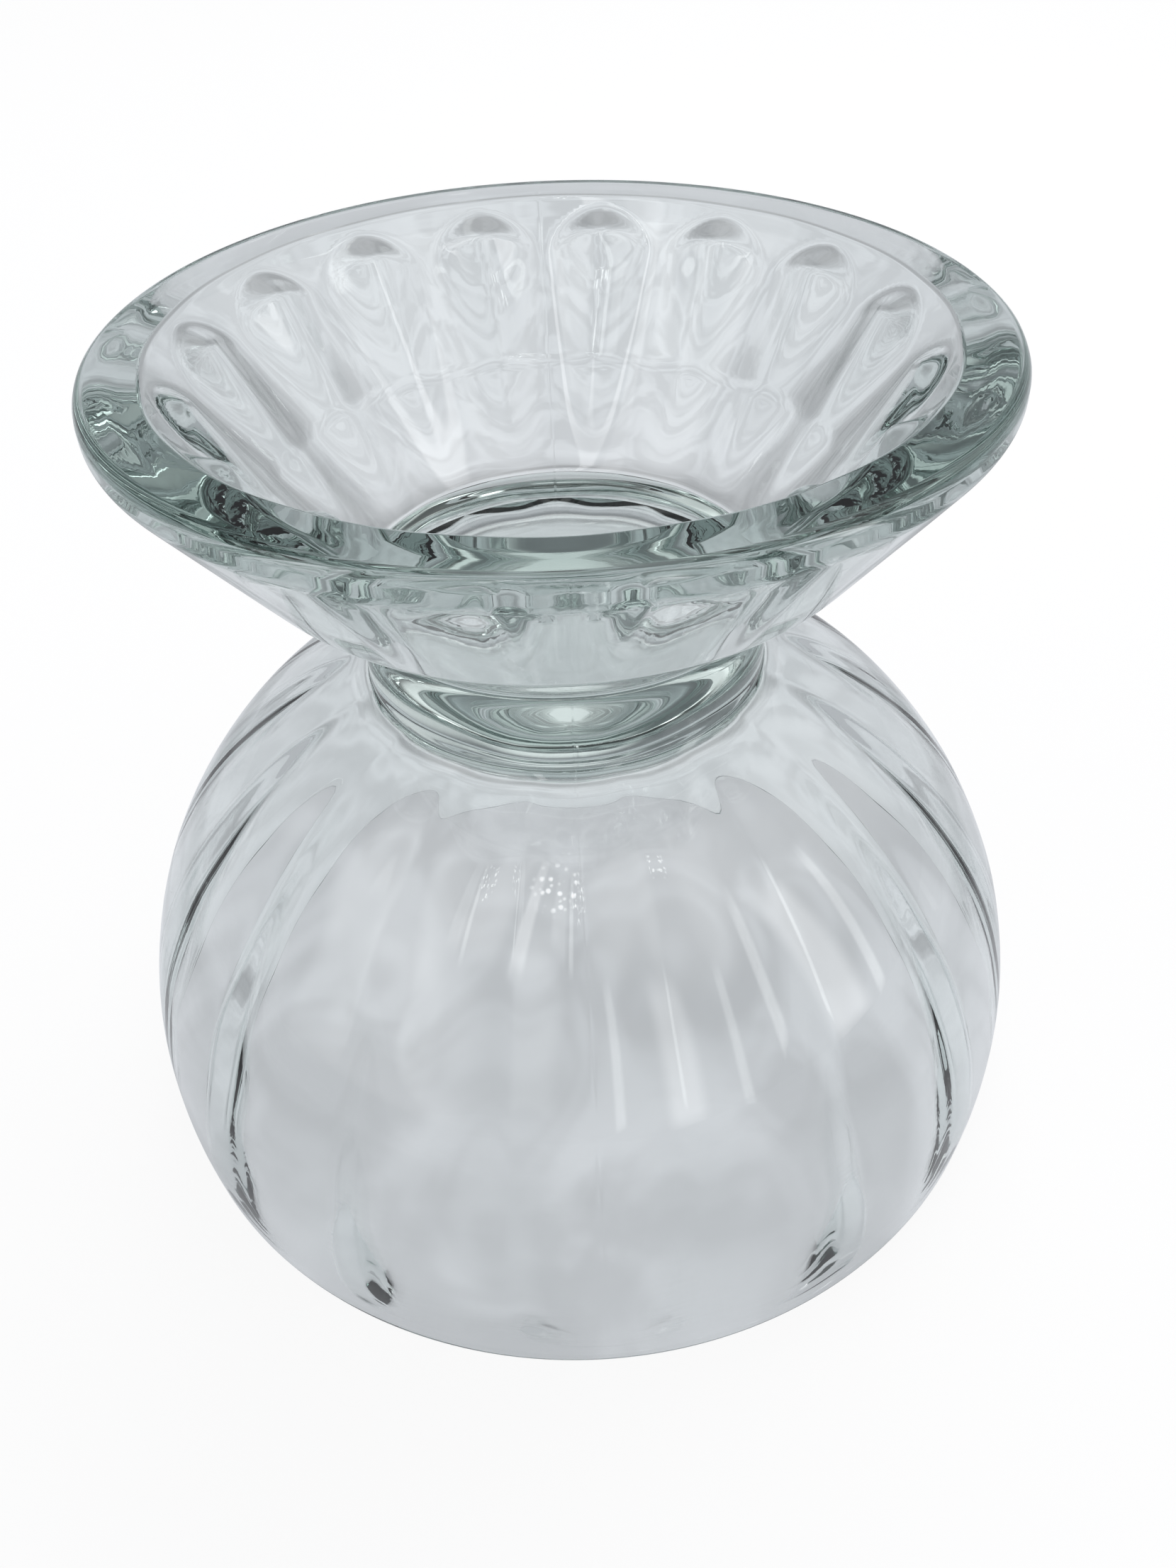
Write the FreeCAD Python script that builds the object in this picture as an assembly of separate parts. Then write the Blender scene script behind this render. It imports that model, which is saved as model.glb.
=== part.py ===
import FreeCAD, Part
import math
import os

os.makedirs("parts", exist_ok=True)

# A clear glass bowl for a floating candle, with an hourglass outline.
# A thick flared cup stands on a solid waist, and the waist on a thin globe that rests on its mouth.
# Lengths are millimetres. The origin is the centre of the mouth's rest face, and Z runs up the axis.

# Globe bowl: an egg-shaped dome, widest just above its mouth
flute_count = 16
globe_radius = 73.0
globe_rise = 69.4
globe_centre_height = 13.2
globe_wall = 2.6
globe_flute_depth = 1.5
mouth_round = 1.0
mouth_chamfer = 0.6
globe_flute_fade = 6
globe_section_shares = [0.0, 0.16, 0.34, 0.5, 0.64, 0.76, 0.86, 0.94, 1.0]

# Waist: a short thick neck that spreads into the dome. Its underside swells down into the globe.
waist_radius = 29.9
waist_foot_reach = 6.5
waist_fillet = 4.0
waist_skirt_reach = 7.6
waist_height = 14.64
swell_depth = 15.0
swell_radius = 25.0
swell_section_shares = [1.0, 0.9, 0.78, 0.66, 0.54, 0.42, 0.3, 0.2, 0.1, 0.0]

# Flared cup: a shallow cone on the waist, then a steeper one up to a flat rim
shoulder_rise = 3.7
shoulder_round = 2.0
knee_reach = 14.4
knee_rise = 12.0
knee_round = 14.0
cup_floor_thickness = 4.6
cup_floor_wall = 3.9
cup_floor_round = 4.0
cup_depth = 35.4
rim_radius = 60.0
rim_band_height = 3.8
rim_round = 1.8
rim_wall = 8.3
cup_flute_depth = 2.6
cup_lip_chamfer = 0.8

# The cup's flutes: shares of its fluted wall's height, and their depth there as a share of the deepest
cup_section_shares = [0.0, 0.2, 0.4, 0.58, 0.72, 0.83, 0.91, 0.96, 1.0]
cup_flute_shares = [0.0, 0.12, 0.32, 0.56, 0.8, 0.98, 0.86, 0.58, 0.42]

# How far the globe's hollow is cut below the mouth
overrun = 5.0

half_pitch = math.pi / flute_count
hollow_radius = globe_radius - globe_wall
hollow_rise = globe_rise - globe_wall


def point(radius, height):
    """A point of an outline, in the XZ plane."""
    return FreeCAD.Vector(radius, 0, height)


def dome_height(radius, half_width, rise):
    """Height on a dome's curve at a distance from the axis."""
    return globe_centre_height + rise * math.sqrt(1 - (radius / half_width) ** 2)


def dome_radius(height, half_width, rise):
    """Distance from the axis on a dome's curve at a height."""
    return half_width * math.sqrt(1 - ((height - globe_centre_height) / rise) ** 2)


waist_foot_radius = waist_radius + waist_foot_reach
waist_foot_height = dome_height(waist_foot_radius, globe_radius, globe_rise)
skirt_radius = waist_foot_radius + waist_skirt_reach
skirt_height = dome_height(skirt_radius, globe_radius, globe_rise)
ceiling_radius = dome_radius(skirt_height, hollow_radius, hollow_rise)
waist_top_height = waist_foot_height + waist_height
shoulder_height = waist_top_height + shoulder_rise
cup_floor_height = waist_top_height + cup_floor_thickness
rim_height = cup_floor_height + cup_depth


def line(first, last):
    return Part.LineSegment(first, last).toShape()


def dome_arc(half_width, rise, first, last):
    """A dome's curve between two of its points: an arc of a circle, stretched in height."""
    turns = [
        math.atan2((end.z - globe_centre_height) / rise, end.x / half_width)
        for end in (first, last)
    ]
    turns.insert(1, sum(turns) / 2)
    spots = [point(half_width * math.cos(turn), half_width * math.sin(turn)) for turn in turns]
    stretch = FreeCAD.Matrix()
    stretch.scale(1, 1, rise / half_width)
    arc = Part.Arc(*spots).toShape().transformGeometry(stretch)
    arc.translate(point(0, globe_centre_height))
    return arc


def rounded_outline(corners):
    """Edges along a list of corners. Each corner is a point and the radius that rounds it."""
    edges = []
    start = corners[0][0]
    for index in range(1, len(corners) - 1):
        corner, radius = corners[index]
        if radius > 0:
            back = (corners[index - 1][0] - corner).normalize()
            ahead = (corners[index + 1][0] - corner).normalize()
            half_angle = back.getAngle(ahead) / 2
            reach = radius / math.tan(half_angle)
            first = corner + back * reach
            last = corner + ahead * reach
            middle = corner + (back + ahead).normalize() * (radius / math.sin(half_angle) - radius)
            edges += [line(start, first), Part.Arc(first, middle, last).toShape()]
            start = last
        else:
            edges.append(line(start, corner))
            start = corner
    edges.append(line(start, corners[-1][0]))
    return edges


def turned(edges):
    """The solid that a closed outline makes when it turns about the axis."""
    face = Part.Face(Part.Wire(edges))
    return face.revolve(FreeCAD.Vector(0, 0, 0), FreeCAD.Vector(0, 0, 1), 360)


def fluted_ring(flute_radius, ridge_radius, height):
    """A closed ring of arcs, one for each flute, that bow outward between sharp ridges."""
    def at(radius, angle):
        return FreeCAD.Vector(radius * math.sin(angle), -radius * math.cos(angle), height)

    arcs = []
    for flute in range(flute_count):
        centre = 2 * flute * half_pitch
        start = at(ridge_radius, centre - half_pitch)
        end = at(ridge_radius, centre + half_pitch)
        arcs.append(Part.Arc(start, at(flute_radius, centre), end).toShape())
    return Part.Wire(arcs)


def lip_cutter(flute_radius, ridge_radius, face_height, chamfer, outward):
    """A fluted cone that takes off a mouth's sharp inner edge. Outward is 1 for up, -1 for down."""
    spread = 2 * chamfer
    inner = fluted_ring(flute_radius, ridge_radius, face_height - outward * chamfer)
    outer = fluted_ring(flute_radius + spread, ridge_radius + spread, face_height + outward * chamfer)
    return Part.makeLoft([inner, outer], True, True)


def globe_flutes(height):
    """Flute and ridge radius inside the globe at a height. The flutes fade out just below the waist."""
    flute_radius = dome_radius(height, hollow_radius, hollow_rise)
    fade = 1 - (max(height, 0) / skirt_height) ** globe_flute_fade
    return flute_radius, flute_radius - globe_flute_depth * fade


def make_globe_bowl():
    """Thin bowl, mouth down, smooth outside and fluted inside."""
    rest = point(dome_radius(0, globe_radius, globe_rise) - mouth_round, 0)
    side_start = point(dome_radius(mouth_round, globe_radius, globe_rise), mouth_round)
    chord = side_start - rest
    half_chord = chord.Length / 2
    bend = point(rest.x + half_chord, half_chord * math.tan(math.atan2(chord.z, chord.x) / 2))
    skirt = point(skirt_radius, skirt_height)
    axis_top = point(0, skirt_height)
    axis_foot = point(0, 0)
    dome = turned([
        line(axis_foot, rest),
        Part.Arc(rest, bend, side_start).toShape(),
        dome_arc(globe_radius, globe_rise, side_start, skirt),
        line(skirt, axis_top),
        line(axis_top, axis_foot),
    ])
    heights = [-overrun] + [share * skirt_height for share in globe_section_shares]
    rings = [fluted_ring(*globe_flutes(height), height) for height in heights]
    hollow = Part.makeLoft(rings, True, False)
    lip = lip_cutter(*globe_flutes(0), 0, mouth_chamfer, -1)
    return dome.cut(hollow).cut(lip)


def ceiling_height(radius):
    """Height of the waist's underside: the hollow's dome, less a swell that is deepest at the axis."""
    edge = math.exp(-(ceiling_radius / swell_radius) ** 2)
    swell = (math.exp(-(radius / swell_radius) ** 2) - edge) / (1 - edge)
    return dome_height(radius, hollow_radius, hollow_rise) - swell_depth * swell


def make_waist():
    """Solid neck that spreads into the dome below. Its underside closes the globe."""
    skirt = point(skirt_radius, skirt_height)
    foot = point(waist_foot_radius, waist_foot_height)
    dome_rise = waist_foot_height - globe_centre_height
    dome_slope = (globe_rise / globe_radius) ** 2 * waist_foot_radius / dome_rise
    neck = rounded_outline([
        (foot, 0),
        (point(waist_radius, waist_foot_height + waist_foot_reach * dome_slope), waist_fillet),
        (point(waist_radius, waist_top_height), 0),
        (point(0, waist_top_height), 0),
        (point(0, ceiling_height(0)), 0),
    ])
    spots = [
        point(share * ceiling_radius, ceiling_height(share * ceiling_radius))
        for share in swell_section_shares
    ]
    underside = Part.BSplineCurve()
    underside.interpolate(spots)
    return turned([
        dome_arc(globe_radius, globe_rise, skirt, foot),
        *neck,
        underside.toShape(),
        line(spots[0], skirt),
    ])


def make_flared_cup():
    """Thick cup with a closed floor, a flat rim, and flutes inside that grow towards the rim."""
    axis_foot = point(0, waist_top_height)
    cone = turned(rounded_outline([
        (axis_foot, 0),
        (point(waist_radius, waist_top_height), 0),
        (point(waist_radius, shoulder_height), shoulder_round),
        (point(waist_radius + knee_reach, shoulder_height + knee_rise), knee_round),
        (point(rim_radius, rim_height - rim_band_height), 0),
        (point(rim_radius, rim_height), rim_round),
        (point(0, rim_height), 0),
        (axis_foot, 0),
    ]))
    rim_flute = rim_radius - rim_wall
    rim_ridge = rim_flute - cup_flute_shares[-1] * cup_flute_depth
    floor_radius = waist_radius - cup_floor_wall
    wall_lean = (rim_flute - floor_radius) / cup_depth
    wall_foot = cup_floor_height + cup_floor_round
    wall_radius = floor_radius + cup_floor_round * wall_lean
    floor_hollow = turned(rounded_outline([
        (point(0, cup_floor_height), 0),
        (point(floor_radius, cup_floor_height), cup_floor_round),
        (point(wall_radius, wall_foot), 0),
        (point(0, wall_foot), 0),
        (point(0, cup_floor_height), 0),
    ]))
    rings = []
    for height_share, depth_share in zip(cup_section_shares, cup_flute_shares):
        flute = wall_radius + height_share * (rim_flute - wall_radius)
        height = wall_foot + height_share * (rim_height - wall_foot)
        rings.append(fluted_ring(flute, flute - depth_share * cup_flute_depth, height))
    fluted_hollow = Part.makeLoft(rings, True, False)
    lip = lip_cutter(rim_flute, rim_ridge, rim_height, cup_lip_chamfer, 1)
    return cone.cut(floor_hollow).cut(fluted_hollow).cut(lip)


nodes = {
    "globe_bowl": make_globe_bowl,
    "waist": make_waist,
    "flared_cup": make_flared_cup,
}

for name, make in nodes.items():
    shape = make()
    print(name, "solids", len(shape.Solids), "volume", round(shape.Volume), "valid", shape.isValid())
    shape.Solids[0].exportStep("parts/" + name + ".step")
print("waist foot", round(waist_foot_height, 3), "cup floor", round(cup_floor_height, 3),
      "whole height", round(rim_height, 3))
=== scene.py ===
# %% [markdown]
# # A floating candle bowl in clear glass
# The bowl is one body of glass with an hourglass outline. A thick flared cup stands on a short solid
# waist, and the waist on a thin round globe that rests on its mouth. Sixteen broad flutes run down
# the inside of the cup, and sixteen more down the inside of the globe.
#
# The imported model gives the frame: where things are and how large they are. It is made of three
# solids that touch, and touching faces inside clear glass would show as mirrors. So this script
# dresses them in a single closed surface, as the real bowl has, with nearly the same outline.

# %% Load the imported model
import math
import bpy
import numpy as np
from mathutils import Matrix, Vector


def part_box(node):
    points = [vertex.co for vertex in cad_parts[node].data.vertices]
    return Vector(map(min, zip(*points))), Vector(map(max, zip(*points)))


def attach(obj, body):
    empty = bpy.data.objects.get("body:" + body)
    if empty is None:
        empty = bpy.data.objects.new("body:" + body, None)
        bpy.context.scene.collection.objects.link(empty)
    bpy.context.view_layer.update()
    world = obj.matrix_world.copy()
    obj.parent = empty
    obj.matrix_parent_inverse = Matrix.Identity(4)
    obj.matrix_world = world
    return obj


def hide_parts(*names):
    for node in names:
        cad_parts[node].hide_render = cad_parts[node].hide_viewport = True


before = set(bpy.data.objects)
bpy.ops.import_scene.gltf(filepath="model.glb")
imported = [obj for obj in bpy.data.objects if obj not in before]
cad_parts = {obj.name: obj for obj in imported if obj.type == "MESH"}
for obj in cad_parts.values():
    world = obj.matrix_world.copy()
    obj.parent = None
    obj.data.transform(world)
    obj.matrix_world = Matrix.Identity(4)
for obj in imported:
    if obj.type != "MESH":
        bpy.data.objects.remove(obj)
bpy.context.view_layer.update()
print("nodes:", sorted(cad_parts))

# %% [markdown]
# ## Sizes from the frame
# The rim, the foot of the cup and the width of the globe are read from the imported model, so that the
# glass below fits it. The bowl's own shape is worked out in millimetres and turned into metres once,
# when its surface is made. The table, the lamp and the camera's place are in metres throughout.

# %% Sizes that the frame gives, in millimetres
to_mm = 1000
room_for_ripples = 0.1
rim_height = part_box("flared_cup")[1][2] * to_mm
rim_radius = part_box("flared_cup")[1][0] * to_mm
cup_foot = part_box("flared_cup")[0][2] * to_mm
globe_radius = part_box("globe_bowl")[1][0] * to_mm - room_for_ripples
print("rim height, rim radius:", round(rim_height, 2), round(rim_radius, 2))
print("cup foot, globe radius:", round(cup_foot, 2), round(globe_radius, 2))

# %% [markdown]
# ## The outline of the glass
# Cut the bowl in half through its axis and the cut face shows a ribbon of glass. Its edge is one
# line: from the middle of the cup's floor up the inside, over the rim, down the outside past the
# waist, round the globe to its mouth, and back up inside to the middle of the solid waist. Turning
# that line about the axis gives every face of the bowl at once.
#
# Most of the line is straight runs with rounded corners, so it can be written as a short list of
# corners, as a glassmaker would dimension them. This helper turns such a list into points.

# %% Straight runs with rounded corners
def straight(first, last, step):
    """Points on the line between two others, at most a step apart: first + share * (last - first)."""
    count = max(1, math.ceil(np.linalg.norm(last - first) / step - 0.001))
    return first + np.linspace(0, 1, count + 1)[:, None] * (last - first)


def rounded_run(corners, arc_rows):
    """Points along a line of corners. A corner is (from axis, height, rounding, step of the run to it).

    The arc that rounds a corner touches both runs at a distance rounding / tan(half the corner's
    angle) from it. Its centre lies on the line that halves the corner, at rounding / sin(half).
    """
    spots = [np.array(corner[:2], float) for corner in corners]
    rows = [spots[0][None]]
    for index in range(1, len(corners) - 1):
        corner, (rounding, step) = spots[index], corners[index][2:]
        if rounding == 0:
            rows.append(straight(rows[-1][-1], corner, step)[1:])
            continue
        back = spots[index - 1] - corner
        ahead = spots[index + 1] - corner
        back = back / np.linalg.norm(back)
        ahead = ahead / np.linalg.norm(ahead)
        half = math.acos(np.clip(back @ ahead, -1, 1)) / 2
        reach = rounding / math.tan(half)
        halfway = (back + ahead) / np.linalg.norm(back + ahead)
        centre = corner + halfway * rounding / math.sin(half)
        first = corner + back * reach
        last = corner + ahead * reach
        turn_first = math.atan2(*(first - centre)[::-1])
        turn_last = math.atan2(*(last - centre)[::-1])
        turn_last += round((turn_first - turn_last) / math.tau) * math.tau
        turns = np.linspace(turn_first, turn_last, arc_rows)
        arc = centre + rounding * np.stack([np.cos(turns), np.sin(turns)], axis=1)
        rows += [straight(rows[-1][-1], arc[0], step)[1:-1], arc]
    rows.append(straight(rows[-1][-1], spots[-1], corners[-1][3])[1:])
    return np.concatenate(rows)


# %% [markdown]
# ## The cup and the waist
# The cup is thick pressed glass. Inside, a flat floor with a rounded corner runs into one straight
# sloping wall. Outside, a shallow cone rises from the waist, bends at a knee into a steeper one, and
# ends in a short upright band below the flat rim. The waist is an almost straight neck that meets the
# globe in a tight fillet. The rows are closest near the rim, where the flutes change fastest.

# %% Corners of the cup and the waist
floor_thickness = 4.7
floor_radius = 26.0
floor_rounding = 4.0
wall_top_radius = 51.7
fine_rows_below_rim = 10.0
rim_inner_rounding = 0.9
rim_outer_rounding = 1.8
rim_band = 3.8
band_rounding = 2.5
knee_radius = 44.3
knee_above_foot = 15.7
knee_rounding = 14.0
shoulder_radius = 30.2
shoulder_above_foot = 3.7
shoulder_rounding = 2.0
neck_radius = 29.6
neck_rounding = 1.0
neck_above_globe = 1.3
neck_length = 10.2

globe_rise = 71.2
globe_centre = 13.2

cup_floor = cup_foot + floor_thickness
fine_rows_from = rim_height - fine_rows_below_rim
globe_top = cup_foot - neck_length
globe_top_radius = globe_radius * math.sqrt(1 - ((globe_top - globe_centre) / globe_rise) ** 2)
wall_lean = (wall_top_radius - floor_radius) / (rim_height - cup_floor)


def wall_at(height):
    """Distance from the axis to the bottom of a flute: floor radius + lean * height above the floor."""
    return floor_radius + (height - cup_floor) * wall_lean


cup_and_waist = rounded_run([
    (0.0, cup_floor, 0, 0),
    (floor_radius, cup_floor, floor_rounding, 7.0),
    (wall_at(fine_rows_from), fine_rows_from, 0, 2.6),
    (wall_at(rim_height), rim_height, rim_inner_rounding, 0.55),
    (rim_radius, rim_height, rim_outer_rounding, 2.4),
    (rim_radius, rim_height - rim_band, band_rounding, 1.5),
    (knee_radius, cup_foot + knee_above_foot, knee_rounding, 2.2),
    (shoulder_radius, cup_foot + shoulder_above_foot, shoulder_rounding, 2.2),
    (neck_radius, globe_top + neck_above_globe, neck_rounding, 2.4),
    (globe_top_radius, globe_top, 0, 1.6),
], arc_rows=7)
print("rows down to the globe:", len(cup_and_waist))

# %% [markdown]
# ## The globe
# The globe is blown, so its wall is thin and even, and its outline is one smooth curve: an ellipse a
# little lower than it is wide, cut off below its widest place.
#
# Where the globe meets the waist the glass is thick. On the real bowl a rounded mass hangs down
# there. It acts as a strong lens, and makes the nested bright rings that the photograph shows in the
# waist. It is taken off the height of the inner curve as a bump that fades out from the axis.

# %% The globe's outer and inner curve
globe_wall = 2.6
outer_lip_height = 1.6
inner_lip_height = 1.8
swell_depth = 13.5
swell_radius = 20.0
swell_steepness = 2.2


def dome(half_width, rise, first_height, last_height, rows):
    """Points of an ellipse between two heights: (half_width * cos t, centre + rise * sin t), even in t."""
    first, last = (
        math.asin(np.clip((height - globe_centre) / rise, -1, 1))
        for height in (first_height, last_height)
    )
    turns = np.linspace(first, last, rows)
    return np.stack([half_width * np.cos(turns), globe_centre + rise * np.sin(turns)], axis=1)


def swell(from_axis):
    """How far the waist's underside hangs below the dome: depth * exp(-(r / radius) ** steepness)."""
    return swell_depth * np.exp(-(from_axis / swell_radius) ** swell_steepness)


inner_width = globe_radius - globe_wall
inner_rise = globe_rise - globe_wall
outside = dome(globe_radius, globe_rise, globe_top, outer_lip_height, rows=36)
inside = dome(inner_width, inner_rise, inner_lip_height, globe_centre + inner_rise, rows=60)
inside[:, 1] -= swell(inside[:, 0])
print("glass on the axis, in mm:", round(float(cup_floor - inside[-1, 1]), 1))

# %% [markdown]
# ## The mouth
# The rest face is the globe's cut edge, fire-polished so that it is round on both sides. It is the
# same kind of run as the cup: down from the outer curve, across the flat, and up to the inner one.

# %% The mouth joins the two curves
mouth_rounding = 1.2
mouth_row_step = 0.7
outer_lean = 0.1
inner_lean = 0.05
mouth = rounded_run([
    (*outside[-1], 0, 0),
    (outside[-1][0] - outer_lean, 0.0, mouth_rounding, mouth_row_step),
    (inside[0][0] + inner_lean, 0.0, mouth_rounding, mouth_row_step),
    (*inside[0], 0, mouth_row_step),
], arc_rows=6)
outline = np.concatenate([cup_and_waist, outside[1:-1], mouth[:-1], inside])
print("rows in the whole outline:", len(outline))

# %% [markdown]
# ## Angles round the axis
# The outline is turned about the axis in steps. The ridges between the flutes are the sharpest thing
# on the bowl, so the steps are closer together there. A few extra ones follow the two fine lines that
# the halves of the mould leave on the outside.

# %% Angles of the columns
flute_count = 16
half_pitch = math.pi / flute_count
columns_in_flute = 26
# Shares of an even step: 1 + crowding in the middle of a flute, and 1 - 2 * crowding at its ridges.
crowding = 0.4
even = np.linspace(-1, 1, columns_in_flute, endpoint=False)
one_flute = even * (1 + crowding - crowding * even ** 2) * half_pitch
flute_middles = 2 * half_pitch * np.arange(flute_count)
angles = (one_flute[None] + flute_middles[:, None]).ravel()
beside_seam = np.array([0.0018, 0.0036, 0.006, 0.01, 0.016])
for seam in (0, math.pi):
    angles = np.concatenate([angles, seam + beside_seam, seam - beside_seam])
angles = np.unique(np.round(angles, 7))
from_middle = np.abs((angles + half_pitch) % (2 * half_pitch) - half_pitch)
from_ridge = half_pitch - from_middle
print("columns round the bowl:", len(angles))

# %% [markdown]
# ## Which rows are which
# Every row of the outline is a ring round the bowl. The flutes belong to the rows of the two hollows,
# and the ripples to those of the outer skin and of the globe's inside. The flat faces of the rim and
# the mouth, and the curves that lead into them, are left smooth, but for a trace of the flutes on the
# rim's inner edge.

# %% Rows of the cup, the globe and the outside
radius = outline[:, :1]
height = outline[:, 1:]
row_number = np.arange(len(outline))[:, None]
rim_row = int(np.argmax(outline[:, 1] >= rim_height - 0.01))
mouth_row = int(np.argmin(np.abs(outline[:, 1])))
rows_of_rim = 6
rows_of_outer_edge = 4
rows_of_mouth = 3
in_cup = row_number <= rim_row + 1
in_globe = row_number > mouth_row + rows_of_mouth
on_outside = (row_number > rim_row + rows_of_rim) & (row_number < mouth_row - rows_of_outer_edge)
print("first row of the rim, of the mouth:", rim_row, mouth_row)

# %% [markdown]
# ## Flutes
# A flute is a broad hollow pressed into the inside, and where two of them meet they leave a ridge.
# Both sets are worked out as the height of those ridges, which is taken off the distance from the
# axis. The globe's ridges are a little sharper than the cup's.

# %% The shape of a ridge
def ridge_shape(softness):
    """Share of the ridge's height round one flute: (1 - d / half pitch) squared, d from the ridge.

    Softness, in radians, rounds the ridge's top: d becomes sqrt(d ** 2 + softness ** 2) - softness.
    """
    soft = np.sqrt(from_ridge ** 2 + softness ** 2) - softness
    widest = math.sqrt(half_pitch ** 2 + softness ** 2) - softness
    return (1 - soft / widest)[None] ** 2


def smooth_step(value):
    """A slope that starts and ends level, from 0 at 0 to 1 at 1: v * v * (3 - 2 * v)."""
    value = np.clip(value, 0, 1)
    return value * value * (3 - 2 * value)


cup_ridges = ridge_shape(softness=0.08)
globe_ridges = ridge_shape(softness=0.045)
print("a ridge from its top to the middle of a flute:", np.round(cup_ridges[0, :14:4], 2))

# %% [markdown]
# ## The cup's flutes
# In the cup the ridges start at nothing beside the floor and grow higher towards the rim. Each ends
# just under the flat rim in a rounded nose, which the photograph shows as a row of grey arches along
# the far wall. The nose is a steep step whose height falls away from the ridge as an arch does.

# %% Height of the cup's ridges
below_rim = np.array([35.3, 31, 20, 10, 4, 0])
ridge_there = np.array([0, 0.15, 0.9, 2.1, 3.0, 3.2])
nose_below_rim = 1.4
nose_arch = 5.5
nose_length = 2.2
nose_left = 0.05

share_of_flute = (from_ridge / half_pitch)[None]
nose_top = rim_height - nose_below_rim - nose_arch * share_of_flute ** 2
nose = nose_left + (1 - nose_left) * smooth_step((nose_top - height) / nose_length)
cup_depth = np.interp(height, rim_height - below_rim, ridge_there) * cup_ridges * nose
print("highest ridge in the cup, in mm:", round(float(cup_depth[:rim_row + 1].max()), 2))

# %% [markdown]
# ## The globe's flutes
# In the globe the ridges are lower, softened by the fire at the mouth, and fade out as they reach the
# waist. Seen through the front wall, the ones at the back draw the kinked line of the far mouth.

# %% Height of the globe's ridges
globe_ridge_height = 1.6
fade_steepness = 10
fade_start_radius = 22.0
fade_reach = 10.0
mouth_softening = 0.4
mouth_softening_height = 6.0

towards_waist = np.clip(1 - np.maximum(height / globe_top, 0) ** fade_steepness, 0, 1)
towards_waist = towards_waist * np.clip((radius - fade_start_radius) / fade_reach, 0, 1)
towards_mouth = 1 - mouth_softening * (1 - smooth_step(height / mouth_softening_height))
globe_depth = globe_ridge_height * towards_waist * towards_mouth * globe_ridges
depth = np.where(in_cup, cup_depth, np.where(in_globe, globe_depth, 0))
print("highest ridge in the globe, in mm:", round(float(globe_depth[mouth_row:].max()), 2))

# %% [markdown]
# ## Slow ripples
# Blown and pressed glass is never quite true. Long waves a few hundredths of a millimetre high run
# over its faces, and they bend and break the reflections. They are geometry here and not a bump,
# because clear glass shows the shape of both its faces. The mould lines are two fine upright ridges.

# %% Ripples and mould lines
# Each wave is (size in mm, turns round the bowl, climb in radians for a mm of height, phase).
outer_waves = [
    (0.035, 3, 0.11, 0.4),
    (0.025, 7, -0.17, 1.9),
    (0.02, 11, 0.23, 3.1),
    (0.012, 5, 0.41, 5.2),
]
inner_waves = [
    (0.05, 4, -0.13, 2.2),
    (0.035, 9, 0.21, 0.7),
    (0.03, 6, 0.37, 4.0),
    (0.02, 13, -0.3, 1.1),
]
taken_off_outside = 0.08
seam_height = 0.03
seam_width = 0.0035
calm_radius = 25.0


def ripples(waves):
    """Sum of waves: size * sin(turns * angle + climb * height + phase)."""
    total = np.zeros((len(outline), len(angles)))
    for size, turns, climb, phase in waves:
        total += size * np.sin(turns * angles[None] + climb * height + phase)
    return total


from_seam = np.abs((angles + math.pi / 2) % math.pi - math.pi / 2)
seams = seam_height * np.exp(-(from_seam / seam_width) ** 2)[None]
skin = np.where(on_outside, ripples(outer_waves) - taken_off_outside + seams, 0)
skin = np.where(in_globe, ripples(inner_waves), skin) * np.clip(radius / calm_radius, 0, 1)
print("lowest and highest ripple, in mm:", round(float(skin.min()), 3), round(float(skin.max()), 3))

# %% [markdown]
# ## From points to glass
# Each ring's distance from the axis is its outline's, less the ridges, plus the ripples. The grid of
# points becomes one mesh. Its columns join up round the axis, and its first and last rows are single
# points on the axis, so the surface is closed, as a solid that bends light has to be.

# %% Points on a grid of rows and columns
from_axis = np.maximum(radius - depth + skin, 0)
points = np.stack([
    from_axis * np.sin(angles)[None],
    -from_axis * np.cos(angles)[None],
    np.broadcast_to(height, from_axis.shape),
], axis=2) / to_mm
print("rows and columns:", points.shape[:2])

# %% [markdown]
# ## The mesh
# Between two rows the grid makes four-sided faces, and round the axis at each end three-sided ones.
# Their corners run so that every face looks outwards, away from the glass. The arrays go into the
# mesh in one piece with foreach_set, which is much faster than adding faces one by one.

# %% The mesh
def closed_surface(name, grid):
    """A mesh from a grid whose columns join up and whose first and last rows are single points."""
    rows, columns = grid.shape[:2]
    spots = np.concatenate([grid[:1, 0], grid[1:-1].reshape(-1, 3), grid[-1:, 0]])
    number = 1 + np.arange((rows - 2) * columns).reshape(rows - 2, columns)
    beside = np.roll(number, -1, axis=1)
    quads = np.stack([number[:-1], number[1:], beside[1:], beside[:-1]], axis=2).reshape(-1, 4)
    start = np.stack([np.zeros(columns, int), number[0], beside[0]], axis=1)
    end = np.stack([number[-1], np.full(columns, len(spots) - 1), beside[-1]], axis=1)
    corners = np.concatenate([start.ravel(), quads.ravel(), end.ravel()])
    sizes = np.concatenate([np.full(columns, 3), np.full(len(quads), 4), np.full(columns, 3)])

    mesh = bpy.data.meshes.new(name)
    mesh.vertices.add(len(spots))
    mesh.vertices.foreach_set("co", spots.ravel())
    mesh.loops.add(len(corners))
    mesh.loops.foreach_set("vertex_index", corners)
    mesh.polygons.add(len(sizes))
    mesh.polygons.foreach_set("loop_start", np.concatenate([[0], np.cumsum(sizes)[:-1]]))
    mesh.update(calc_edges=True)
    mesh.validate()
    mesh.shade_smooth()
    piece = bpy.data.objects.new(name, mesh)
    bpy.context.scene.collection.objects.link(piece)
    return piece


glass_bowl = closed_surface("glass_bowl", points)
glass_bowl.data.calc_loop_triangles()
print("triangles:", len(glass_bowl.data.loop_triangles))

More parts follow.
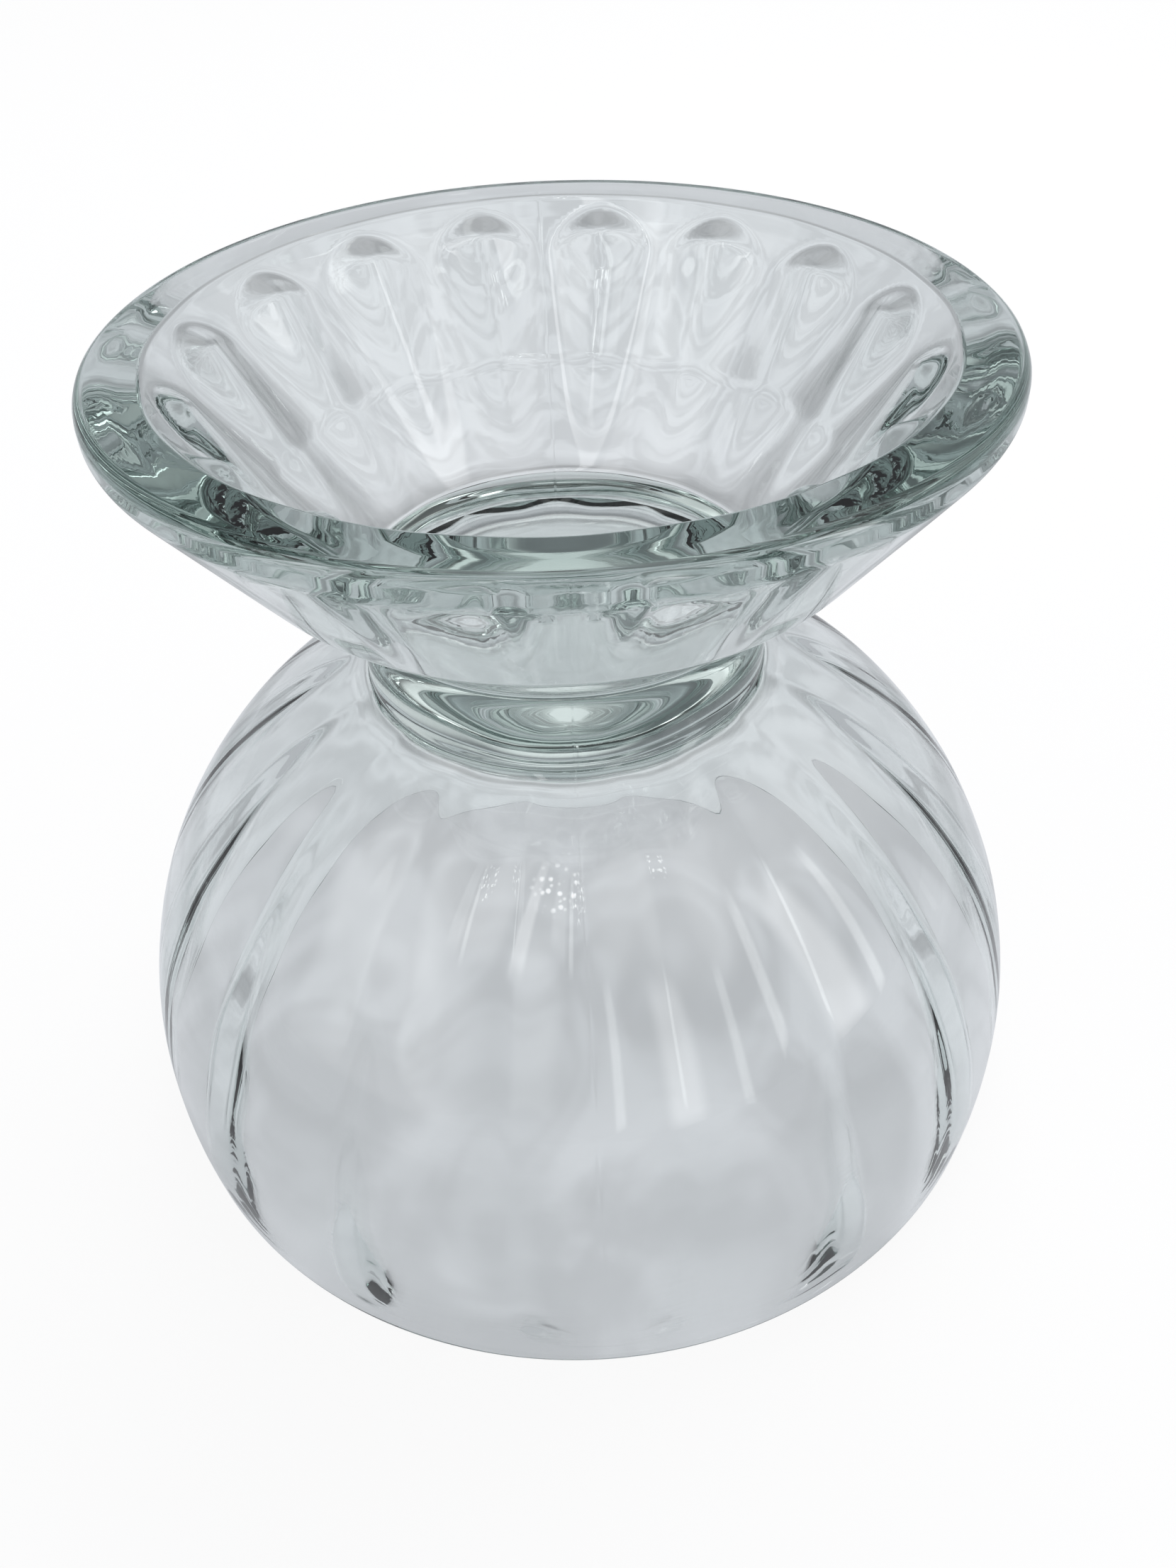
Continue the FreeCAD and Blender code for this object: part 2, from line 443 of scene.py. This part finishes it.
# %% [markdown]
# ## Clear glass
# The material is a smooth dielectric with the refractive index of soda-lime glass, 1.52. A trace of
# iron makes thick glass grey-green, so its tint sits in the volume and grows with the path of the
# light: the solid waist darkens and the thin globe stays clear. A colour on the surface could not
# tell thick from thin. A very faint grain, drawn out round the bowl, stands for the tool marks that
# a press leaves.

# %% The glass material
def add_tint(tree):
    """Glass tint in the volume: what is left of light falls as exp(-density * (1 - colour) * path)."""
    tint = tree.nodes.new("ShaderNodeVolumeAbsorption")
    tint.inputs["Color"].default_value = (0.54, 0.64, 0.615, 1)
    tint.inputs["Density"].default_value = 16.0
    tree.links.new(tint.outputs["Volume"], tree.nodes["Material Output"].inputs["Volume"])


def add_grain(tree, surface):
    """Faint tool marks: noise in object space, about eight times finer upwards than sideways."""
    place = tree.nodes.new("ShaderNodeTexCoord")
    squash = tree.nodes.new("ShaderNodeMapping")
    squash.inputs["Scale"].default_value = (60, 60, 500)
    grain = tree.nodes.new("ShaderNodeTexNoise")
    grain.inputs["Scale"].default_value = 1.0
    grain.inputs["Detail"].default_value = 2.0
    bump = tree.nodes.new("ShaderNodeBump")
    bump.inputs["Strength"].default_value = 0.015
    bump.inputs["Distance"].default_value = 0.0004
    tree.links.new(place.outputs["Object"], squash.inputs["Vector"])
    tree.links.new(squash.outputs["Vector"], grain.inputs["Vector"])
    tree.links.new(grain.outputs["Fac"], bump.inputs["Height"])
    tree.links.new(bump.outputs["Normal"], surface.inputs["Normal"])


def make_clear_glass():
    """The bowl's one material: a clear surface, a tint that grows with thickness, and a faint grain."""
    material = bpy.data.materials.new("clear_glass")
    material.use_nodes = True
    surface = material.node_tree.nodes["Principled BSDF"]
    surface.inputs["Base Color"].default_value = (0.97, 0.985, 0.98, 1)
    surface.inputs["Transmission Weight"].default_value = 1.0
    surface.inputs["IOR"].default_value = 1.52
    surface.inputs["Roughness"].default_value = 0.0
    add_tint(material.node_tree)
    add_grain(material.node_tree, surface)
    return material


# %% [markdown]
# ## The bowl in the frame
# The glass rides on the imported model's one body, takes the place of its three solids, and carries the
# name of their material slot.

# %% Put the glass on the bowl, and the bowl in the frame
glass_bowl.data.materials.append(make_clear_glass())
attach(glass_bowl, "root")
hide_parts("globe_bowl", "waist", "flared_cup")
print("materials:", [material.name for material in glass_bowl.data.materials])

# %% [markdown]
# ## Short hands for nodes
# The table and the room are built from the same few nodes again and again: a sum or a product, a soft
# slope from one value to another, and a mix of two shaders. Each gets a helper that makes the node,
# links it and hands back its output.

# %% Helpers for node trees
def math_step(tree, operation, first, second=None):
    """A Math node on a socket and, where the operation has one, on a second socket or a number."""
    node = tree.nodes.new("ShaderNodeMath")
    node.operation = operation
    tree.links.new(first, node.inputs[0])
    if isinstance(second, float):
        node.inputs[1].default_value = second
    elif second is not None:
        tree.links.new(second, node.inputs[1])
    return node.outputs[0]


def eased(tree, value, start, end, low, high):
    """A soft slope with level ends: low where the value is start, high where it is end."""
    node = tree.nodes.new("ShaderNodeMapRange")
    node.interpolation_type = "SMOOTHSTEP"
    node.inputs["From Min"].default_value = start
    node.inputs["From Max"].default_value = end
    node.inputs["To Min"].default_value = low
    node.inputs["To Max"].default_value = high
    tree.links.new(value, node.inputs["Value"])
    return node.outputs[0]


def mixed(tree, share, first, second):
    """A mix of two shaders: the first where the share is 0, the second where it is 1."""
    node = tree.nodes.new("ShaderNodeMixShader")
    tree.links.new(share, node.inputs[0])
    tree.links.new(first, node.inputs[1])
    tree.links.new(second, node.inputs[2])
    return node.outputs[0]


# %% [markdown]
# ## What the glass sees of the table
# Clear glass shows nothing but what is round it, so the stage is half of its look. Rays that reach
# the table by way of the glass see a pale grey, a little cloudy, with a soft darker ring far out: a
# painted shadow of the bowl, laid round its axis. The clouds give the globe its slow changes of tone,
# and the painted shadow ring draws the dark edges of the flutes. Both could come from a picture laid
# on the table. Noise and a distance do the same without one.

# %% Clouds and painted shadow ring
# The dark ring is a painted shadow of the bowl on the table, seen only by rays that come by way of the
# glass.
shadow_ring_starts = 0.13
shadow_ring_darkest_from = 0.19
shadow_ring_darkest_to = 0.22
shadow_ring_ends = 0.30
painted_shadow_shade = (0.46, 0.46, 0.46, 1)


def add_clouds(tree, place):
    """Slow clouds: noise, eased from a share of 0.86 where it is low to 1.08 where it is high."""
    clouds = tree.nodes.new("ShaderNodeTexNoise")
    clouds.inputs["Scale"].default_value = 28.0
    clouds.inputs["Detail"].default_value = 2.0
    clouds.inputs["Distortion"].default_value = 1.0
    tree.links.new(place, clouds.inputs["Vector"])
    return eased(tree, clouds.outputs["Fac"], 0.35, 0.65, 0.86, 1.08)


def add_painted_shadow_ring(tree, place):
    """A painted shadow: a ramp on the distance from the bowl's axis, in metres: 1, down to the shade, and
    1 again.
    """
    away = tree.nodes.new("ShaderNodeVectorMath")
    away.operation = "DISTANCE"
    tree.links.new(place, away.inputs[0])
    ring = tree.nodes.new("ShaderNodeValToRGB")
    ring.color_ramp.interpolation = "EASE"
    ring.color_ramp.elements[0].position = shadow_ring_starts
    ring.color_ramp.elements[0].color = (1, 1, 1, 1)
    ring.color_ramp.elements[1].position = shadow_ring_ends
    ring.color_ramp.elements[1].color = (1, 1, 1, 1)
    for distance in (shadow_ring_darkest_from, shadow_ring_darkest_to):
        dark = ring.color_ramp.elements.new(distance)
        dark.color = painted_shadow_shade
    tree.links.new(away.outputs["Value"], ring.inputs["Fac"])
    return ring.outputs["Color"]


print("dark ring on the table, in m:", shadow_ring_starts, "to", shadow_ring_ends)

# %% [markdown]
# ## The table's paint
# The table is plain and pale. To the camera it is nearly white. A small share of both its glowing
# colours stays ordinary paint, which is what keeps some of the bowl's shadow.

# %% The paint
seen_white = 0.92
seen_pale = 0.8


def make_table_paint():
    """Diffuse paint, mixed with white for the camera's rays and with pale grey for those by glass."""
    material = bpy.data.materials.new("pale_table")
    material.use_nodes = True
    tree = material.node_tree
    tree.nodes.remove(tree.nodes["Principled BSDF"])
    path = tree.nodes.new("ShaderNodeLightPath")
    spot = tree.nodes.new("ShaderNodeTexCoord")
    paint = tree.nodes.new("ShaderNodeBsdfDiffuse")
    paint.inputs["Color"].default_value = (0.80, 0.80, 0.83, 1)
    white = tree.nodes.new("ShaderNodeEmission")
    white.inputs["Color"].default_value = (1, 1, 1, 1)
    pale = tree.nodes.new("ShaderNodeEmission")
    pale.inputs["Color"].default_value = (0.68, 0.70, 0.735, 1)

    place = spot.outputs["Object"]
    # The pale glow's strength is the painted shadow ring times the clouds.
    strength = math_step(tree, "MULTIPLY", add_painted_shadow_ring(tree, place), add_clouds(tree, place))
    tree.links.new(strength, pale.inputs["Strength"])

    reflected = path.outputs["Is Glossy Ray"]
    refracted = path.outputs["Is Transmission Ray"]
    by_glass = math_step(tree, "MAXIMUM", reflected, refracted)
    pale_share = math_step(tree, "MULTIPLY", by_glass, seen_pale)
    white_share = math_step(tree, "MULTIPLY", path.outputs["Is Camera Ray"], seen_white)
    to_glass = mixed(tree, pale_share, paint.outputs[0], pale.outputs[0])
    to_camera = mixed(tree, white_share, to_glass, white.outputs[0])
    tree.links.new(to_camera, tree.nodes["Material Output"].inputs["Surface"])
    return material


# %% [markdown]
# ## The table itself
# A single flat square is enough. It lies a tenth of a millimetre below the bowl's rest face, so that
# the two faces never share a plane, which would show as speckles.

# %% The table
half_table = 3.0
table_height = -0.0001
table_corners = [
    (-half_table, -half_table),
    (half_table, -half_table),
    (half_table, half_table),
    (-half_table, half_table),
]
table_mesh = bpy.data.meshes.new("table")
table_mesh.from_pydata([(x, y, table_height) for x, y in table_corners], [], [(0, 1, 2, 3)])
table_mesh.materials.append(make_table_paint())
table = bpy.data.objects.new("table", table_mesh)
bpy.context.scene.collection.objects.link(table)
print("table:", half_table * 2, "m square")

# %% [markdown]
# ## The room
# The world is a plain studio. To the camera it is white. Every other ray meets a room that is dim
# behind the camera and pale in front of it, darker overhead, with a hazy horizon that hides where the
# table ends. The dim side is what the thick rim mirrors, and it makes the rim's dark strokes.

# %% The plain room
behind_colour = (0.10, 0.115, 0.11, 1)
ahead_colour = (0.55, 0.565, 0.60, 1)
horizon_colour = (0.50, 0.51, 0.54, 1)
overhead_share = 0.5


def added(tree, shade, glow):
    """The sum of a colour and a glow."""
    node = tree.nodes.new("ShaderNodeVectorMath")
    node.operation = "ADD"
    tree.links.new(shade, node.inputs[0])
    tree.links.new(glow, node.inputs[1])
    return node.outputs["Vector"]


def add_plain_room(tree, forward, upward):
    """A ramp from behind to ahead, dimmed overhead and mixed with haze near the horizon."""
    shades = tree.nodes.new("ShaderNodeValToRGB")
    shades.color_ramp.elements[0].color = behind_colour
    shades.color_ramp.elements[1].color = ahead_colour
    ahead = tree.nodes.new("ShaderNodeMapRange")
    ahead.inputs["From Min"].default_value = -0.9
    ahead.inputs["From Max"].default_value = 0.8
    tree.links.new(forward, ahead.inputs["Value"])
    tree.links.new(ahead.outputs[0], shades.inputs["Fac"])
    dimmed = tree.nodes.new("ShaderNodeVectorMath")
    dimmed.operation = "SCALE"
    tree.links.new(shades.outputs["Color"], dimmed.inputs[0])
    tree.links.new(eased(tree, upward, 0.5, 0.1, overhead_share, 1.0), dimmed.inputs["Scale"])

    # A Mix node keeps its colour sockets at 6 and 7, and its colour output at 2.
    haze = tree.nodes.new("ShaderNodeMix")
    haze.data_type = "RGBA"
    tree.links.new(eased(tree, upward, 0.0, 0.25, 1.0, 0.0), haze.inputs[0])
    tree.links.new(dimmed.outputs["Vector"], haze.inputs[6])
    haze.inputs[7].default_value = horizon_colour
    return haze.outputs[2]


# %% [markdown]
# ## Panels of light
# A photographer lights glass with a few soft panels. Each is a round patch of sky: full strength near
# its middle and fading to nothing further out. One is small and bright and broken up by a net of
# beads, and it makes the sparkles on the front of the globe. An area lamp could do the same, but a
# patch in the world costs no extra noise when it is seen through several faces of glass.

# %% The panels
# Each is (direction, half-angle of its full part and of its faded edge in degrees, strength, net).
panels = [
    ((-0.10, -0.50, 1.0), 2, 8, 9.0, 30),
    ((0.45, -0.50, 0.9), 6, 26, 1.2, 0),
    ((-0.75, -0.30, 0.8), 6, 26, 1.0, 0),
    ((0.1, 0.6, 1.0), 8, 30, 0.9, 0),
    ((0.9, 0.2, 0.7), 8, 34, 0.7, 0),
]


def add_net(tree, direction, fineness):
    """Round beads of light: 1 near the middle of each cell, and 0 past 0.45 of a cell from it."""
    beads = tree.nodes.new("ShaderNodeTexVoronoi")
    beads.inputs["Scale"].default_value = fineness
    beads.inputs["Randomness"].default_value = 0.6
    tree.links.new(direction, beads.inputs["Vector"])
    return eased(tree, beads.outputs["Distance"], 0.2, 0.45, 1.0, 0.0)


def add_panel(tree, direction, aim, full, faded, strength, net):
    """A soft round patch: eased between the cosines of its faded edge and of its full part."""
    facing = tree.nodes.new("ShaderNodeVectorMath")
    facing.operation = "DOT_PRODUCT"
    facing.inputs[1].default_value = Vector(aim).normalized()
    tree.links.new(direction, facing.inputs[0])
    edge = math.cos(math.radians(faded))
    core = math.cos(math.radians(full))
    glow = eased(tree, facing.outputs["Value"], edge, core, 0.0, strength)
    if net:
        glow = math_step(tree, "MULTIPLY", glow, add_net(tree, direction, net))
    return glow


print("panels:", len(panels))

# %% [markdown]
# ## Tall windows
# The long pale streaks that run down the globe and the cup are images of tall narrow windows. Each
# window is a band between two bearings and two heights. A bearing is the angle round the bowl, seen
# from above, from the camera's side (-Y) towards the right (+X).

# %% The windows
# Each is (bearing, half-width and soft edge in degrees, sine of the elevation of its foot and of its
# head, strength).
windows = [
    (22, 2, 4, 0.0, 0.55, 2.6),
    (67, 3, 5, 0.0, 0.6, 3.2),
    (-50, 10, 16, 0.0, 0.55, 0.8),
    (-38, 6, 5, 0.68, 0.9, 1.6),
    (-22, 1.5, 2, 0.66, 0.9, 3.0),
]


def add_window(tree, bearing, upward, centre, half, soft, foot, head, strength):
    """A soft upright band: the product of a slope across it, one at its foot and one at its head."""
    off_centre = math_step(tree, "SUBTRACT", bearing, math.radians(centre))
    across = math_step(tree, "ABSOLUTE", off_centre)
    glow = eased(tree, across, math.radians(half + soft), math.radians(half), 0.0, strength)
    above_foot = eased(tree, upward, foot - 0.05, foot + 0.05, 0.0, 1.0)
    below_head = eased(tree, upward, head + 0.1, head - 0.05, 0.0, 1.0)
    glow = math_step(tree, "MULTIPLY", glow, above_foot)
    return math_step(tree, "MULTIPLY", glow, below_head)


print("windows:", len(windows))

# %% [markdown]
# ## The world
# The room, its panels and its windows are added up into one background. Light Path's Is Camera Ray
# then chooses between that and plain white, so the light on the glass and the colour behind the bowl
# can be set apart from each other.

# %% The world
def make_room():
    """The studio: white to the camera, and the lit room to every other ray."""
    world = bpy.data.worlds.new("room")
    bpy.context.scene.world = world
    world.use_nodes = True
    tree = world.node_tree
    backdrop = tree.nodes["Background"]
    backdrop.inputs["Color"].default_value = (1, 1, 1, 1)
    room = tree.nodes.new("ShaderNodeBackground")
    path = tree.nodes.new("ShaderNodeLightPath")
    place = tree.nodes.new("ShaderNodeTexCoord")
    split = tree.nodes.new("ShaderNodeSeparateXYZ")
    direction = place.outputs["Generated"]
    tree.links.new(direction, split.inputs[0])
    rightward = split.outputs["X"]
    forward = split.outputs["Y"]
    upward = split.outputs["Z"]

    shade = add_plain_room(tree, forward, upward)
    for panel in panels:
        shade = added(tree, shade, add_panel(tree, direction, *panel))
    backward = math_step(tree, "MULTIPLY", forward, -1.0)
    bearing = math_step(tree, "ARCTAN2", rightward, backward)
    for window in windows:
        shade = added(tree, shade, add_window(tree, bearing, upward, *window))

    tree.links.new(shade, room.inputs["Color"])
    seen = mixed(tree, path.outputs["Is Camera Ray"], room.outputs[0], backdrop.outputs[0])
    tree.links.new(seen, tree.nodes["World Output"].inputs["Surface"])
    return world


room = make_room()
print("world nodes:", len(room.node_tree.nodes))

# %% [markdown]
# ## A soft lamp
# One panel of light above and behind the bowl lays a faint, soft shadow on the table. Rays that meet
# glass don't see it, because the room has its own windows for them.

# %% The lamp
def soft_lamp(name, place, aim, width, length, watts):
    """A rectangle of light at a place, turned to face a point. A lamp shines along its own -Z."""
    lamp = bpy.data.lights.new(name, "AREA")
    lamp.shape = "RECTANGLE"
    lamp.size = width
    lamp.size_y = length
    lamp.energy = watts
    holder = bpy.data.objects.new(name, lamp)
    bpy.context.scene.collection.objects.link(holder)
    holder.location = place
    holder.rotation_euler = (Vector(aim) - Vector(place)).to_track_quat("-Z", "Y").to_euler()
    holder.visible_glossy = False
    holder.visible_transmission = False
    return holder


top_panel = soft_lamp("top_panel", (0.25, 0.5, 1.0), (0, 0, 0.06), width=0.8, length=0.5, watts=8.0)
print("lamp in watts:", top_panel.data.energy)

# %% [markdown]
# ## The camera
# The photograph looks down at the bowl from close by, about 40 degrees below level. The camera's
# place and turn were fitted to the outlines of the rim, the globe and the mouth. The turn is built
# up as a photographer would make it: swing to the side, tip down, then roll.

# %% Which way the camera faces
yaw = -0.0144
pitch = 0.7044
roll = -0.0389
turn = Matrix.Rotation(yaw, 3, "Z")
level_right = turn @ Vector((1, 0, 0))
forward = turn @ Vector((0, math.cos(pitch), -math.sin(pitch)))
level_up = turn @ Vector((0, math.sin(pitch), math.cos(pitch)))
right = math.cos(roll) * level_right + math.sin(roll) * level_up
up = math.cos(roll) * level_up - math.sin(roll) * level_right
print("looks along:", [round(part, 3) for part in forward])

# %% [markdown]
# ## The lens
# The photograph's focal length is known in its own pixels, from the way near and far circles of the
# bowl differ in size. Dividing by the photograph's height gives it as a share of the sensor's.

# %% The camera
photo_height = 2212
focal_points = 2000.4
sensor_height = 36.0
camera_back = 0.17626
camera_height = 0.20098
# The whole view is then turned a little about the bowl's axis, to line up the flutes.
round_axis = -0.015

camera_data = bpy.data.cameras.new("camera")
camera_data.sensor_fit = "VERTICAL"
camera_data.sensor_height = sensor_height
camera_data.lens = focal_points * sensor_height / photo_height
camera_data.clip_start = 0.01
camera = bpy.data.objects.new("camera", camera_data)
bpy.context.scene.collection.objects.link(camera)
pose = Matrix((right, up, -forward)).transposed().to_4x4()
pose.translation = Vector((0, -camera_back, camera_height))
camera.matrix_world = Matrix.Rotation(round_axis, 4, "Z") @ pose
bpy.context.scene.camera = camera
print("lens in mm:", round(camera_data.lens, 2))

# %% [markdown]
# ## Settings
# Light crosses four faces of the bowl on its way, and in the waist it bounces about inside, so the
# paths are allowed to be long. The colours are shown as they are, without a film look.

# %% Settings
scene = bpy.context.scene
scene.view_settings.view_transform = "Standard"
scene.cycles.max_bounces = 32
scene.cycles.transmission_bounces = 32
scene.cycles.glossy_bounces = 16
scene.cycles.sample_clamp_indirect = 8.0
print("longest light path:", scene.cycles.max_bounces, "bounces")
